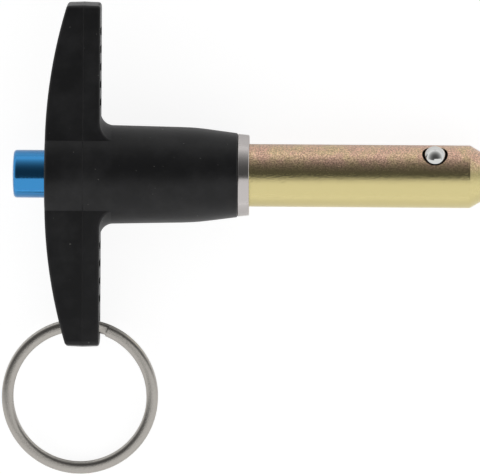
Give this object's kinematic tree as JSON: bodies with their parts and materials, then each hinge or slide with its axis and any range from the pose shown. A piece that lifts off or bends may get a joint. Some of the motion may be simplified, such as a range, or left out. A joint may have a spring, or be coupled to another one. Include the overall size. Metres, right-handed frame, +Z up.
{
  "type": "ball lock pin",
  "caption": "Quick-release ball lock pin with a T-handle, a press button on its end and a split ring; locking balls near the tip hold it in a through hole.",
  "frame": {"origin": "on the pin's axis, at the front face of the collar, where the pin stops against the work", "axes": "+X along the shank to its tip, +Y along the T-bar away from the split ring, +Z up off the surface the pin lies on"},
  "size_m": [0.0977, 0.0962, 0.0202],
  "materials": {
    "handle_plastic": "moulded, slightly textured",
    "collar_steel": "turned, passivated",
    "plated_steel": "yellow chromated plate",
    "spindle_steel": "ground",
    "anodised_aluminium": "blue anodised",
    "spring_steel": "drawn wire",
    "ball_steel": "polished",
    "ring_steel": "drawn flat wire"
  },
  "bodies": {
    "pin_body": {"t_handle": "handle_plastic", "collar": "collar_steel", "shank": "plated_steel", "return_spring": "spring_steel"},
    "plunger": {"spindle": "spindle_steel", "button": "anodised_aluminium", "button_pin": "spindle_steel"},
    "upper_ball": {"locking_ball_upper": "ball_steel"},
    "lower_ball": {"locking_ball_lower": "ball_steel"},
    "ring": {"split_ring": "ring_steel"}
  },
  "joints": [
    {"name": "button_press", "type": "slide", "parent": "pin_body", "child": "plunger", "axis": [1, 0, 0], "range_m": [0, 0.0045], "stiffness_N_per_m": 1930, "springref_m": -0.005, "deforming": ["return_spring"]},
    {"name": "upper_ball_in", "type": "slide", "parent": "pin_body", "child": "upper_ball", "axis": [0, -0.7431, -0.6691], "range_m": [0, 0.0014]},
    {"name": "lower_ball_in", "type": "slide", "parent": "pin_body", "child": "lower_ball", "axis": [0, 0.7431, 0.6691], "range_m": [0, 0.0014]},
    {"name": "split_ring_swing", "type": "hinge", "parent": "pin_body", "child": "ring", "pos_m": [-0.03413, -0.0306, 0], "axis": [1, 0, 0], "range_deg": [-155.5, 144.5]}
  ],
  "couplings": [
    {"joint": "upper_ball_in", "follows": "button_press", "ratio": 0.3111},
    {"joint": "lower_ball_in", "follows": "button_press", "ratio": 0.3111}
  ]
}
